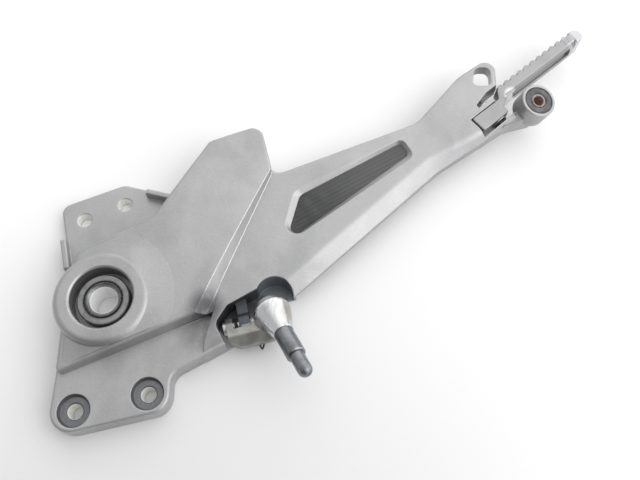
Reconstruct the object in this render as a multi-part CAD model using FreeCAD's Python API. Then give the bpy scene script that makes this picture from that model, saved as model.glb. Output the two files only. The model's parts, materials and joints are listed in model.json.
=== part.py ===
import FreeCAD, Part
import math
import os

V = FreeCAD.Vector
UP = V(0, 0, 1)

# Frame: +Z is the pivot axis and points outward, +X is rearward, +Y is upward.
# The origin is the pivot axis on the inner mounting plane.

# Running and seating clearances
SEAT_GAP = 0.05
PIN_GAP = 0.08
SIDE_GAP = 0.5

# Reach of the cutting blocks, past the whole part and past its thickness
FAR = 900.0
DEEP = 60.0

# Pivot boss
BOSS_R = 35.0
BOSS_TOP = 31.0
BOSS_EDGE = 5.0
FLARE_FROM_R = 26.0
FLARE_R = 56.0
FLARE_RISE = 2.7
FLARE_SINK = 1.3
FLARE_INSET = 4.0
RECESS_R = 22.5
RECESS_DEPTH = 15.0
RECESS_BEVEL = 1.2
BUSH_HEAD_R = 18.8
BUSH_HEAD_HEIGHT = 8.5
BUSH_SHANK_R = 16.0
BUSH_GROOVE_R = 14.2
BUSH_GROOVE_DEPTH = 1.6
COLLAR_R = 12.8
COLLAR_BEVEL = 2.2
PIVOT_BORE_R = 10.0

# Lower bolt plate
PLATE_TOP = 17.0
PLATE_EDGE = 2.0
PLATE_BOLTS = (V(-13.1, -76.9, 0), V(36.1, -65.3, 0))
PLATE_HOLE_R = 5.25
CBORE_R = 11.5
CBORE_DEPTH = 4.0
CBORE_BEVEL = 1.3
HOLE_BEVEL = 0.8

# Upper bolt lug
LUG_TOP = 9.0
LUG_EDGE = 1.5
LUG_BOLTS = (V(-26.8, 69.0, 0), V(3.0, 82.2, 0))
LUG_HOLE_R = 5.2
LUG_RIB_TOP = 17.0
LUG_RIB_T = 4.4
LUG_RIB_EDGE = 1.2

# Heel guard
DOME_APEX = V(70, 60, 30)
DOME_R = 1500.0
HEEL_EDGE = 2.0
HEEL_SKIN = 8.0
BAND_RUN = 2.4
RIDGE_FOOT = V(58.0, -30.4, 28.4)
RIDGE_TIP = V(122.5, 116.8, 28.8)
RIDGE_DROP = 6.6
RIDGE_FOOT_RUN = 7.2
RIDGE_TIP_RUN = 0.8

# Arm
ARM_FRONT_TOP = 23.0
ARM_REAR_TOP = 29.0
ARM_FRONT_X = 105.0
ARM_REAR_X = 295.0
ARM_REACH = 293.4
ARM_RISE = 154.8
ARM_EDGE = 2.5
ARM_SKIN = 5.0
ARM_BACK = 13.0
ARM_BACK_X = 130.0
FLANK_DROP = 8.0
FLANK_EDGE = 9.0
RIB_T = 4.0
WINDOW_BEVEL = 3.0
INLAY_DEPTH = 2.6
INLAY_LEDGE = 2.0
INLAY_RIB_PITCH = 3.2
INLAY_RIB_DEPTH = 0.3
INLAY_RIBS = 18
EYE_CENTRE = V(ARM_REACH - 7.8, ARM_RISE + 33.6, 0)
EYE_WIDTH = 15.0
EYE_LENGTH = 18.0
EYE_LIP = 9.0
ARM_RIBS = (V(172, 64, 0), V(214, 95.5, 0))
ARM_RIB_ANGLE = 30.0
WINDOW_CORNERS = [(123.5, 38.5, 9), (134.5, 86.5, 10), (219.0, 132.0, 6), (228.3, 115.5, 7)]
INLAY_CORNERS = [(129.0, 45.2, 5), (139.0, 84.3, 8), (218.0, 129.0, 4), (223.8, 118.4, 4)]

# Rear boss for the silencer bush
REAR_TOP_CENTRE = V(ARM_REACH + 31.9, ARM_RISE + 2.9, 40.0)
REAR_AXIS = V(0.18, -0.12, 0.976)
REAR_R = 13.6
REAR_BORE_R = 11.4
REAR_EDGE = 1.0
REAR_LENGTH = 19.0
GROMMET_DEPTH = 16.5
GROMMET_CROWN = 1.2
SLEEVE_R = 5.4
SLEEVE_BORE_R = 4.1
WEB_TOP = 24.0
WEB_RISE = 0.35
PIN_SEAT = 2.2

# Rider's peg, in its own frame: X along the hinge, Y upward, Z outward
RIDER_HINGE = V(100.7, -14.8, 12.0)
RIDER_ANGLE = 14.0
RIDER_PIN_R = 4.0
RIDER_HEAD_R = 5.2
RIDER_HEAD_T = 1.3
RIDER_WASHER_T = 0.9
LOCK_PIN_R = 1.0
LOCK_PLACE = 1.7
PIN_SHORT = 1.6
POCKET_FLOOR = 2.2
FLOOR_EDGE = 9.0
NOTCH_CENTRE = V(121.6, 4.4, 0)
NOTCH_R = 13.6
EYE_LUG_R = 8.0
EYE_LUG_T = 8.0
FORK_GAP = 0.4
PRONG_T = 5.0
PEG_OFFSET = V(20.0, 3.2, 6.9)
PEG_AXIS = V(0.215, -0.879, 0.425)
PEG_BOSS_R = 9.5
PEG_BOSS_LENGTH = 6.0
CONE_R = 14.1
CONE_RIM = 3.5
CONE_LENGTH = 24.0
CONE_TIP_R = 7.4
CORE_R = 6.9
CORE_LENGTH = 46.5
CORE_STUD_R = 4.5
CORE_STUD_LENGTH = 3.0
BLOCK_END = 18.5
BLOCK_FRONT = 16.5
BLOCK_SHOULDER = 9.0
BLOCK_TOP = 8.6
BLOCK_LOW = 9.0
BLOCK_BACK = 6.8
LOCK_REACH = 6.0
NOSE_R = 5.2
PEG_LENGTH = 65.0
SPRING_WIRE = 1.2
SPRING_TURNS = 2
SPRING_PITCH = 1.3

# Pillion peg, in its own frame: X along the folded peg, Y along the hinge, Z outward
PILLION_HINGE = V(ARM_REACH, ARM_RISE, 21.0)
PILLION_ANGLE = 39.8
PILLION_PIN_R = 3.5
PILLION_HEAD_R = 5.2
PILLION_HEAD_T = 2.4
ROOT_HALF = 6.75
ROOT_BACK = 18.5
ROOT_FRONT = 9.0
PEG_HALF_T = 7.5
FLARE_FROM = 11.0
PAD_FROM = 16.0
PAD_TO = 99.0
PEG_EDGE = 0.8
PAD_LOW = 4.8
PAD_HIGH = 13.6
TOOTH_COUNT = 11
TOOTH_R = 3.0
TIP_LENGTH = 11.0
TIP_RISE = 2.6
TIP_EDGE = 2.0
FLANK_HOLLOW = 3.0
FLANK_BEVEL = 3.0
EAR_T = 3.2
EAR_REACH = 7.5
EAR_SLOT = 3.6
EAR_PASS = 7.0
CLEVIS_GAP = 3.6
TAIL_GAP = 1.6
WASHER_R = 7.0
WASHER_T = 0.7
COIL_R = 5.4
COIL_WIRE = 0.7
CLIP_R = 6.4
CLIP_T = 0.7
BALL_R = 2.5
BALL_PROUD = 0.2
BALL_SEAT = V(-11.0, 0, 0)
DETENT_WIRE = 0.7


def rounded(corners, z=0.0):
    """Closed wire through the corners, each blended by its own radius."""
    spans = []
    for i, (x, y, r) in enumerate(corners):
        here = V(x, y, z)
        before = corners[i - 1]
        after = corners[(i + 1) % len(corners)]
        back = V(before[0], before[1], z).sub(here).normalize()
        ahead = V(after[0], after[1], z).sub(here).normalize()
        half = back.getAngle(ahead) / 2
        reach = r / math.tan(half)
        bulge = here + back.add(ahead).normalize() * (r / math.sin(half) - r)
        spans.append((here + back * reach, bulge, here + ahead * reach, r))
    edges = []
    for i, (start, bulge, end, r) in enumerate(spans):
        if r > 0:
            edges.append(Part.Arc(start, bulge, end).toShape())
        edges.append(Part.makeLine(end, spans[(i + 1) % len(spans)][0]))
    return Part.Wire(edges)


def prism(corners, low, high):
    """Straight block with a rounded outline between two levels."""
    return Part.Face(rounded(corners, low)).extrude(UP * (high - low))


def top_edges(shape, level):
    """Edges that lie wholly at one level."""
    return [e for e in shape.Edges
            if abs(e.BoundBox.ZMin - level) < 1e-4 and abs(e.BoundBox.ZMax - level) < 1e-4]


def above(a, b, c):
    """Half-space block on the outer side of the plane through three points."""
    normal = b.sub(a).cross(c.sub(a)).normalize()
    if normal.z < 0:
        normal = normal * -1
    plate = Part.makePlane(2 * FAR, 2 * FAR, V(-FAR, -FAR, 0))
    plate.Placement = FreeCAD.Placement(a, FreeCAD.Rotation(UP, normal))
    return plate.extrude(normal * FAR)


def turned(profile, base, axis):
    """Solid of revolution of (radius, height) points about an axis."""
    points = [V(r, 0, h) for r, h in profile]
    face = Part.Face(Part.makePolygon(points + points[:1]))
    solid = face.revolve(V(0, 0, 0), UP, 360)
    solid.Placement = FreeCAD.Placement(base, FreeCAD.Rotation(UP, axis))
    return solid


def rod(r, base, axis, length):
    """Cylinder from a base point along an axis."""
    return Part.makeCylinder(r, length, base, axis)


def set_at(shape, origin, angle):
    """Turn a shape built round a hinge into place."""
    moved = shape.copy()
    moved.Placement = FreeCAD.Placement(origin, FreeCAD.Rotation(UP, angle)).multiply(moved.Placement)
    return moved


def arm_level(x):
    """Height of the arm's outer face at a place along it."""
    rise = (ARM_REAR_TOP - ARM_FRONT_TOP) / (ARM_REAR_X - ARM_FRONT_X)
    return ARM_FRONT_TOP + rise * (x - ARM_FRONT_X)


def above_arm(drop=0.0):
    """Space outside the arm's outer face, lowered by a drop."""
    return above(V(0, 0, arm_level(0) - drop), V(300, 0, arm_level(300) - drop),
                 V(0, 200, arm_level(0) - drop))


def lower_plate():
    corners = [(-28.5, -15, 0), (-30, -95.3, 15), (51.5, -76.4, 14), (51, -51.8, 10),
               (92, -28.4, 30), (104, -10, 0), (60, 12, 0), (0, 12, 0)]
    plate = prism(corners, 0, PLATE_TOP)
    return plate.makeFillet(PLATE_EDGE, top_edges(plate, PLATE_TOP))


def upper_lug():
    corners = [(-34, 28, 0), (-38.5, 50, 30), (-46.5, 80.2, 8), (0.4, 99.7, 10), (44, 89.1, 0),
               (50, 70, 0), (20, 40, 0), (-15, 15, 0)]
    lug = prism(corners, 0, LUG_TOP)
    lug = lug.makeFillet(LUG_EDGE, top_edges(lug, LUG_TOP))
    for a, b in ((V(-36.4, 50.2, 0), V(-30.5, 27, 0)), (V(20.6, 92.6, 0), V(43, 87.1, 0))):
        run = b.sub(a)
        rib = Part.makeBox(run.Length, LUG_RIB_T, LUG_RIB_TOP, V(0, -LUG_RIB_T, 0))
        rib = rib.makeFillet(LUG_RIB_EDGE, top_edges(rib, LUG_RIB_TOP))
        lug = lug.fuse(set_at(rib, a, math.degrees(math.atan2(run.y, run.x))))
    return lug


def heel_outline():
    return [(-27.5, -54, 4), (74, -10, 6), (86, -12, 3), (105, 54, 0), (117.5, 104, 12), (107.6, 144.2, 9),
            (68.4, 128.4, 8), (29.3, 61, 25), (-24, 37, 14), (-27.5, -15, 0)]


def ridge_cut():
    """Space behind the ridge: its bevel is wide at the guard's foot and steep at the tip."""
    along = RIDGE_TIP.sub(RIDGE_FOOT).normalize()
    across = along.cross(UP).normalize()
    sections = []
    for place, run in ((RIDGE_FOOT, RIDGE_FOOT_RUN), (RIDGE_TIP, RIDGE_TIP_RUN)):
        slope = across * run - UP * RIDGE_DROP
        high = place - slope * 2
        low = place + slope
        sections.append(Part.makePolygon([high, low, low + across * DEEP, high + across * DEEP, high]))
    return Part.makeLoft(sections, True, True)


def heel_guard():
    """Domed guard: its ridge and lower step are bevelled down to the arm and the plate."""
    guard = prism(heel_outline(), 0, DEEP)
    dome = Part.makeSphere(DOME_R)
    dome.Placement = FreeCAD.Placement(DOME_APEX - UP * DOME_R, FreeCAD.Rotation(V(1, 0, 0), 90))
    guard = guard.common(dome).cut(ridge_cut())
    step = above(V(-27.5, -54 + BAND_RUN, 24), V(74, -10 + BAND_RUN, 29), V(-27.5, -54, PLATE_TOP))
    guard = guard.cut(step)
    crown = [f for f in guard.Faces if isinstance(f.Surface, Part.Sphere)][0]
    middle = (RIDGE_FOOT + RIDGE_TIP) * 0.5
    ridge = min(crown.Edges, key=lambda e: e.CenterOfMass.distanceToPoint(middle))
    return guard.makeFillet(HEEL_EDGE, [e for e in crown.Edges if not e.isSame(ridge)])


def pivot_boss():
    """Round boss on a low flare that lies square to the dome and runs out into it."""
    boss = Part.makeCylinder(BOSS_R, BOSS_TOP)
    boss = boss.makeFillet(BOSS_EDGE, top_edges(boss, BOSS_TOP))
    a = V(FLARE_FROM_R, 0, FLARE_RISE)
    b = V(FLARE_R, 0, -FLARE_SINK)
    hollow = Part.Arc(a, V(FLARE_FROM_R + 0.4 * (FLARE_R - FLARE_FROM_R), 0, 0.25 * FLARE_RISE), b).toShape()
    foot = V(FLARE_R, 0, -FLARE_R / 4)
    axis = V(0, 0, -FLARE_R / 4)
    peak = V(0, 0, FLARE_RISE)
    edges = [hollow, Part.makeLine(b, foot), Part.makeLine(foot, axis), Part.makeLine(axis, peak),
             Part.makeLine(peak, a)]
    flare = Part.Face(Part.Wire(edges)).revolve(V(0, 0, 0), UP, 360)
    out = math.hypot(DOME_APEX.x, DOME_APEX.y)
    level = DOME_APEX.z - DOME_R + math.sqrt(DOME_R ** 2 - out ** 2)
    square = V(-DOME_APEX.x, -DOME_APEX.y, DOME_R - DOME_APEX.z)
    flare.Placement = FreeCAD.Placement(V(0, 0, level), FreeCAD.Rotation(UP, square))
    inset = Part.Face(rounded(heel_outline()).makeOffset2D(-FLARE_INSET)).extrude(UP * BOSS_TOP)
    return boss.fuse(flare.common(inset))


def arm_outline():
    x, y = ARM_REACH, ARM_RISE
    return [(106, 128, 0), (118.5, 102.5, 9), (x - 62.4, y - 7.3, 25), (x - 27.4, y + 34.9, 45),
            (x + 6.1, y + 58.5, 9), (x + 4.6, y + 17.7, 0), (x + 22.6, y - 5.8, 0), (x + 7.6, y - 11.2, 15),
            (x - 47.4, y - 49.2, 60), (136, 5, 0), (92, -28.4, 30), (72, -40, 0), (78, -6, 0)]


def arm_crown():
    """The arm's outer face: set in along its lower edge, where the flank slopes away."""
    x, y = ARM_REACH, ARM_RISE
    return [(106, 126, 0), (119.5, 101, 9), (x - 61.9, y - 9, 25), (x - 26.4, y + 33.6, 45),
            (x + 4.6, y + 56, 8), (x + 3.1, y + 17.7, 0), (x + 19.6, y - 4.3, 0), (x + 6.6, y - 8.3, 15),
            (x - 54.4, y - 40.3, 60), (128.3, 13.5, 0), (88, -22, 30), (73, -32, 0), (79, -6, 0)]


def slanted(corners, low, high):
    """Block whose outline lies across a hinge: (Y, Z) corners, drawn out along X."""
    block = prism(corners, low, high)
    block.Placement = FreeCAD.Placement(V(0, 0, 0), FreeCAD.Rotation(V(1, 1, 1), 120))
    return block


def coil(radius, wire, turns, base, axis):
    """Closed-wound spring wire round an axis."""
    pitch = wire * 1.08
    path = Part.makeHelix(pitch, pitch * turns, radius)
    section = Part.Wire(Part.makeCircle(wire / 2, V(radius, 0, 0), V(0, 1, 0)))
    spring = Part.Wire(path).makePipeShell([section], True, True)
    spring.Placement = FreeCAD.Placement(base, FreeCAD.Rotation(UP, axis))
    return spring


def at_rider(shape):
    return set_at(shape, RIDER_HINGE, RIDER_ANGLE)


def at_pillion(shape):
    return set_at(shape, PILLION_HINGE, PILLION_ANGLE)


def below(level=0.0):
    """Everything under the mounting plane."""
    return Part.makeBox(2 * FAR, 2 * FAR, FAR, V(-FAR, -FAR, level - FAR))


def on_arm(shape):
    """Tip a shape drawn on the level so that it follows the arm's rise."""
    rise = math.degrees(math.atan2(ARM_REAR_TOP - ARM_FRONT_TOP, ARM_REAR_X - ARM_FRONT_X))
    tipped = shape.copy()
    tipped.Placement = FreeCAD.Placement(V(0, 0, arm_level(0)), FreeCAD.Rotation(V(0, 1, 0), -rise))
    return tipped


def arm():
    """Arm with a sloping lower flank, tipped to its rise and flat on its inner side."""
    foot = Part.Face(rounded(arm_outline(), -DEEP)).extrude(UP * (DEEP - FLANK_DROP))
    crown = Part.makeLoft([rounded(arm_outline(), -FLANK_DROP), rounded(arm_crown(), 0)], True, True)
    body = foot.fuse(crown)
    flank = [e for e in top_edges(body, 0) if lower_side(e)]
    body = body.makeFillet(FLANK_EDGE, flank)
    rest = [e for e in top_edges(body, 0) if e.BoundBox.XMin > 119 and not lower_side(e)]
    body = body.makeFillet(ARM_EDGE, rest)
    back = Part.makeBox(FAR, FAR, ARM_BACK, V(ARM_BACK_X, -FAR / 2, 0))
    cuts = [below(), back, arm_hollow(), clevis_slot(), ear_recess(), eye_hole()]
    return on_arm(body.cut(window())).cut(cuts)


def lower_side(edge):
    """Whether an edge of the arm's outer face runs along the sloping flank."""
    start = V(128.3, 13.5, 0)
    side = V(ARM_REACH - 54.4, ARM_RISE - 40.3, 0).sub(start).cross(UP).normalize()
    middle = edge.CenterOfMass
    return middle.sub(start).dot(side) > -3 and 100 < middle.x < ARM_REACH - 4


def arm_hollow():
    """Open back of the arm, with two ribs left across it."""
    x, y = ARM_REACH, ARM_RISE
    corners = [(112, 36, 6), (122, 96, 8), (x - 65.4, y - 16.8, 20), (x - 46.4, y + 5.2, 8),
               (x - 41.4, y - 26.8, 8), (x - 55.4, y - 41.3, 30), (148, 30, 8), (130, 34, 6)]
    hollow = prism(corners, -1, DEEP).cut(above_arm(ARM_SKIN))
    for place in ARM_RIBS:
        rib = Part.makeBox(RIB_T, 2 * DEEP, 2 * DEEP, V(-RIB_T / 2, -DEEP, -DEEP))
        hollow = hollow.cut(set_at(rib, place, ARM_RIB_ANGLE))
    return hollow


def window():
    """Window with a bevelled border, a seat for the insert and a smaller way through."""
    rims = [rounded(INLAY_CORNERS, -WINDOW_BEVEL), rounded(WINDOW_CORNERS, SEAT_GAP)]
    border = Part.makeLoft(rims, True, True)
    seat = prism(INLAY_CORNERS, -WINDOW_BEVEL - INLAY_DEPTH, -WINDOW_BEVEL + SEAT_GAP)
    through = rounded(INLAY_CORNERS, -DEEP).makeOffset2D(-INLAY_LEDGE)
    return border.fuse([seat, Part.Face(through).extrude(UP * (DEEP - WINDOW_BEVEL))])


def clevis_slot():
    """Slot for the peg's root, open to the rear and to the inner side."""
    corners = [(-ROOT_BACK - TAIL_GAP, ROOT_HALF + SIDE_GAP, 1.5), (60, ROOT_HALF + SIDE_GAP, 0),
               (60, -ROOT_HALF - CLEVIS_GAP, 0), (-ROOT_BACK - TAIL_GAP, -ROOT_HALF - CLEVIS_GAP, 1.5)]
    return at_pillion(prism(corners, -60, 60))


def ear_recess():
    """Hollow beside the thin ear for the pin's head, and the clear way past the ear's end."""
    inner = ROOT_HALF + SIDE_GAP
    wall = inner + EAR_T
    start = -PILLION_HEAD_R - 2
    side = wall + EAR_PASS
    corners = [(start, wall, 1), (start, wall + EAR_SLOT, 2), (EAR_REACH, side, 2), (DEEP, side, 0),
               (DEEP, wall, 0)]
    hollow = prism(corners, -PILLION_HEAD_R - 1, DEEP)
    past_ear = Part.makeBox(DEEP, EAR_T + EAR_PASS + 1, 2 * DEEP, V(EAR_REACH, inner - 1, -DEEP))
    return at_pillion(hollow.fuse(past_ear))


def eye_hole():
    """Strap eye: a rounded hole through a lip that is thinner than the arm."""
    half = EYE_WIDTH / 2
    tall = EYE_LENGTH / 2
    hole = prism([(-half, -tall, 4), (-half + 2, tall, 6), (half, tall, 5), (half, -tall, 4)], -60, 60)
    lip = Part.makeBox(90, 60, 60, V(-50, ROOT_HALF + 15, -60))
    level = arm_level(EYE_CENTRE.x) - EYE_LIP
    return set_at(hole, EYE_CENTRE, 0).fuse(
        set_at(lip, V(PILLION_HINGE.x, PILLION_HINGE.y, level), PILLION_ANGLE))


def rear_axis():
    return V(REAR_AXIS).normalize()


def rear_boss():
    """Tilted boss for the silencer bush and the web that climbs to it from the clevis."""
    boss = rod(REAR_R, REAR_TOP_CENTRE - rear_axis() * REAR_LENGTH, rear_axis(), REAR_LENGTH)
    boss = boss.makeFillet(REAR_EDGE, [e for e in boss.Edges if e.Length > REAR_LENGTH])
    inner = -ROOT_HALF - CLEVIS_GAP
    web = prism([(-24, -8, 0), (-ROOT_BACK - TAIL_GAP, inner, 0), (14, inner, 0), (24, -6, 0), (28, -22, 3),
                 (19, -22.5, 6), (0, -13.8, 10), (-24, -11.8, 0)],
                ARM_BACK - PILLION_HINGE.z, DEEP)
    level = WEB_TOP - PILLION_HINGE.z
    web = web.cut(above(V(0, 0, level), V(10, 0, level + 10 * WEB_RISE), V(0, 10, level)))
    top = rod(FAR, REAR_TOP_CENTRE - rear_axis() * REAR_EDGE, rear_axis(), FAR)
    return boss.fuse(at_pillion(web).cut(top))


def rear_bore():
    seat = rod(REAR_BORE_R, REAR_TOP_CENTRE - rear_axis() * GROMMET_DEPTH, rear_axis(), GROMMET_DEPTH + DEEP)
    return seat.fuse(rod(SLEEVE_R + 1, REAR_TOP_CENTRE - rear_axis() * DEEP, rear_axis(), DEEP))


def heel_hollow():
    """Open back of the heel guard, with one rib left from the boss to the tip."""
    corners = [(42, -16, 5), (60, -6, 5), (69, -3, 5), (89, 57, 20), (102, 103, 10), (98, 134, 6),
               (73, 124, 6), (38, 64, 20), (27, 50, 5)]
    hollow = prism(corners, -1, DOME_APEX.z - HEEL_SKIN)
    rib = Part.makeBox(FAR, RIB_T, DEEP, V(0, -RIB_T / 2, -1))
    return hollow.cut(set_at(rib, V(0, 0, 0), 45))


def rider_pocket():
    """Cut-out for the rider's peg: open at the lower edge, floored behind, with a notch for the cone."""
    corners = [(104, -60, 0), (80, -17, 7), (88, -3.4, 4), (112, 10.6, 0), (135, 4.5, 0), (150, -60, 0)]
    pocket = prism(corners, POCKET_FLOOR, DEEP)
    notch = Part.makeCylinder(NOTCH_R, DEEP, NOTCH_CENTRE + UP * POCKET_FLOOR)
    outer = Part.makeBox(DEEP, DEEP, 2 * DEEP, V(EYE_LUG_T / 2 + FORK_GAP, FLOOR_EDGE - DEEP, -DEEP))
    return pocket.fuse([notch, at_rider(outer)])


def hinge_lug():
    """Tongue in the pocket that carries the rider's hinge pin."""
    half = EYE_LUG_T / 2
    eye = rod(EYE_LUG_R, V(-half, 0, 0), V(1, 0, 0), EYE_LUG_T)
    stem = Part.makeBox(EYE_LUG_T, 24, RIDER_HINGE.z + 3 - 1, V(-half, 0, 1 - RIDER_HINGE.z))
    foot = Part.makeBox(EYE_LUG_T, EYE_LUG_R + 2, RIDER_HINGE.z - 1, V(-half, -2, 1 - RIDER_HINGE.z))
    bore = rod(RIDER_PIN_R + PIN_GAP, V(-half - 1, 0, 0), V(1, 0, 0), DEEP)
    return at_rider(eye.fuse([stem, foot]).cut(bore))


def bolt_holes():
    """Counterbored holes of the lower plate and plain holes of the lug."""
    cuts = []
    for centre in PLATE_BOLTS:
        depth = PLATE_TOP - CBORE_DEPTH
        cuts.append(turned([(0, -1), (PLATE_HOLE_R, -1), (PLATE_HOLE_R, depth - HOLE_BEVEL),
                            (PLATE_HOLE_R + HOLE_BEVEL, depth), (CBORE_R - CBORE_BEVEL, depth),
                            (CBORE_R, PLATE_TOP), (CBORE_R, 60), (0, 60)], centre, UP))
    for centre in LUG_BOLTS:
        cuts.append(turned([(0, -1), (LUG_HOLE_R, -1), (LUG_HOLE_R, LUG_TOP - HOLE_BEVEL),
                            (LUG_HOLE_R + HOLE_BEVEL, LUG_TOP), (LUG_HOLE_R + HOLE_BEVEL, 60), (0, 60)],
                           centre, UP))
    return cuts


def pivot_recess():
    floor = BOSS_TOP - RECESS_DEPTH
    bore = BUSH_SHANK_R + SEAT_GAP
    return turned([(0, -1), (bore, -1), (bore, floor), (RECESS_R, floor), (RECESS_R, BOSS_TOP - RECESS_BEVEL),
                   (RECESS_R + RECESS_BEVEL, BOSS_TOP), (RECESS_R + RECESS_BEVEL, DEEP), (0, DEEP)],
                  V(0, 0, 0), UP)


def hanger_casting():
    body = heel_guard().fuse([lower_plate(), upper_lug(), pivot_boss()]).cut(heel_hollow())
    body = body.fuse(arm())
    body = body.cut([rider_pocket(), pivot_recess()] + bolt_holes())
    body = body.fuse([hinge_lug(), rear_boss()])
    pin = rod(PILLION_PIN_R + SEAT_GAP, V(0, -ROOT_HALF - CLEVIS_GAP - PIN_SEAT, 0), V(0, 1, 0), DEEP)
    return body.cut([rear_bore(), at_pillion(pin)]).removeSplitter()


def pivot_bush():
    floor = BOSS_TOP - RECESS_DEPTH
    top = floor + BUSH_HEAD_HEIGHT
    inner = COLLAR_R + SEAT_GAP
    return turned([(inner, 0), (BUSH_SHANK_R, 0), (BUSH_SHANK_R, floor), (BUSH_HEAD_R, floor),
                   (BUSH_HEAD_R, top - 0.8), (BUSH_HEAD_R - 0.8, top), (BUSH_GROOVE_R, top),
                   (BUSH_GROOVE_R, top - BUSH_GROOVE_DEPTH), (inner, top - BUSH_GROOVE_DEPTH)],
                  V(0, 0, 0), UP)


def pivot_collar():
    top = BOSS_TOP - RECESS_DEPTH + BUSH_HEAD_HEIGHT
    return turned([(PIVOT_BORE_R, 0), (COLLAR_R, 0), (COLLAR_R, top), (PIVOT_BORE_R + COLLAR_BEVEL, top),
                   (PIVOT_BORE_R, top - COLLAR_BEVEL)], V(0, 0, 0), UP)


def arm_inlay():
    """Dark insert: a plate with fine ribs that run along the window."""
    low = -WINDOW_BEVEL - INLAY_DEPTH
    plate = Part.Face(rounded(INLAY_CORNERS, low).makeOffset2D(-SEAT_GAP)).extrude(UP * INLAY_DEPTH)
    a, b = INLAY_CORNERS[1], INLAY_CORNERS[2]
    lean = math.degrees(math.atan2(b[1] - a[1], b[0] - a[0]))
    reach = math.hypot(b[0] - a[0], b[1] - a[1])
    foot = V(-reach, 0, low + INLAY_DEPTH - INLAY_RIB_DEPTH)
    groove = Part.makeBox(3 * reach, INLAY_RIB_PITCH / 2, DEEP, foot)
    step = INLAY_RIB_PITCH / math.cos(math.radians(lean))
    grooves = [set_at(groove, V(a[0], a[1] - step * i, 0), lean) for i in range(INLAY_RIBS)]
    return on_arm(plate.cut(grooves))


def rear_grommet():
    r = REAR_BORE_R - SEAT_GAP
    hole = SLEEVE_R + SEAT_GAP
    return turned([(hole, 0), (r, 0), (r, GROMMET_DEPTH - 1), (r - 1.2, GROMMET_DEPTH),
                   (hole + 1.6, GROMMET_DEPTH), (hole, GROMMET_DEPTH - GROMMET_CROWN)],
                  REAR_TOP_CENTRE - rear_axis() * GROMMET_DEPTH, rear_axis())


def rear_grommet_sleeve():
    return turned([(SLEEVE_BORE_R, 0), (SLEEVE_R, 0), (SLEEVE_R, GROMMET_DEPTH - 0.4),
                   (SLEEVE_BORE_R + 0.4, GROMMET_DEPTH - 0.4), (SLEEVE_BORE_R, GROMMET_DEPTH - 0.8)],
                  REAR_TOP_CENTRE - rear_axis() * GROMMET_DEPTH, rear_axis())


def peg_axis():
    return V(PEG_AXIS).normalize()


def prong_faces():
    """Places along the hinge: the inner faces of the spring side and the peg side."""
    spring = SPRING_PITCH * SPRING_TURNS + SPRING_WIRE
    return -EYE_LUG_T / 2 - 2 * FORK_GAP - spring, EYE_LUG_T / 2 + FORK_GAP


def rider_knuckle():
    """Forked root: two prongs, the faceted block across their front and the boss of the peg."""
    left, right = prong_faces()
    outline = [(-BLOCK_FRONT, -5, 4), (-BLOCK_FRONT, 2, 3), (-BLOCK_SHOULDER, BLOCK_TOP, 2), (1, 7, 4),
               (BLOCK_BACK, 2, 4), (BLOCK_BACK, -3.5, 4), (1, -7.6, 4), (-BLOCK_SHOULDER, -BLOCK_LOW, 4)]
    bar = slanted(outline, left - PRONG_T, BLOCK_END)
    corner = prism([(-30, 0.5, 0), (-3, -18.2, 0), (-30, -30, 0)], -DEEP, DEEP)
    slot = rod(EYE_LUG_R + FORK_GAP, V(left, 0, 0), V(1, 0, 0), right - left)
    slot = slot.fuse(Part.makeBox(right - left, DEEP, 2 * DEEP, V(left, -2.5, -DEEP)))
    boss = rod(PEG_BOSS_R, PEG_OFFSET - peg_axis() * PEG_BOSS_LENGTH, peg_axis(), PEG_BOSS_LENGTH)
    body = bar.cut([slot, corner]).fuse(boss)
    pin = rod(RIDER_PIN_R + SEAT_GAP, V(left - 20, 0, 0), V(1, 0, 0), rider_pin_end() - left + 20)
    stud = rod(CORE_STUD_R + SEAT_GAP, PEG_OFFSET - peg_axis() * CORE_STUD_LENGTH, peg_axis(), 40)
    lock = rod(LOCK_PIN_R + SEAT_GAP, V(right + LOCK_PLACE, 0, -DEEP), UP, 2 * DEEP)
    return at_rider(body.cut([pin, stud, lock, cone_shape(0, SEAT_GAP)]))


def cone_shape(bore, grown=0.0):
    """The collar's cone, widest behind its rounded rim, over a bore."""
    wide = CONE_R + grown
    tip = CONE_TIP_R + grown
    return turned([(bore, 0), (wide - 1.5, 0), (wide, 1.5), (wide, CONE_RIM), (tip + 0.4, CONE_LENGTH - 1.2),
                   (tip, CONE_LENGTH), (bore, CONE_LENGTH)], PEG_OFFSET, peg_axis())


def rider_collar():
    return at_rider(cone_shape(CORE_R + SEAT_GAP))


def rider_core():
    """Steel rod with a stepped nose and a domed end."""
    step = CORE_LENGTH
    dome = PEG_LENGTH - NOSE_R
    body = turned([(0, -CORE_STUD_LENGTH), (CORE_STUD_R, -CORE_STUD_LENGTH), (CORE_STUD_R, 0), (CORE_R, 0),
                   (CORE_R, step - 0.8), (CORE_R - 0.8, step), (NOSE_R, step), (NOSE_R, dome), (0, dome)],
                  V(0, 0, 0), UP)
    body = body.fuse(Part.makeSphere(NOSE_R, V(0, 0, dome))).removeSplitter()
    body.Placement = FreeCAD.Placement(PEG_OFFSET, FreeCAD.Rotation(UP, peg_axis()))
    return at_rider(body)


def rider_pin_end():
    """Where the hinge pin ends, just short of the peg-side prong's outer face."""
    return prong_faces()[1] + PRONG_T - PIN_SHORT


def rider_hinge_pin():
    left, right = prong_faces()
    start = left - PRONG_T - RIDER_WASHER_T
    pin = rod(RIDER_PIN_R, V(start, 0, 0), V(1, 0, 0), rider_pin_end() - start)
    head = rod(RIDER_HEAD_R, V(start - RIDER_HEAD_T, 0, 0), V(1, 0, 0), RIDER_HEAD_T)
    lock = rod(LOCK_PIN_R + SEAT_GAP, V(right + LOCK_PLACE, 0, -DEEP), UP, 2 * DEEP)
    return at_rider(pin.fuse(head).cut(lock).removeSplitter())


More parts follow.
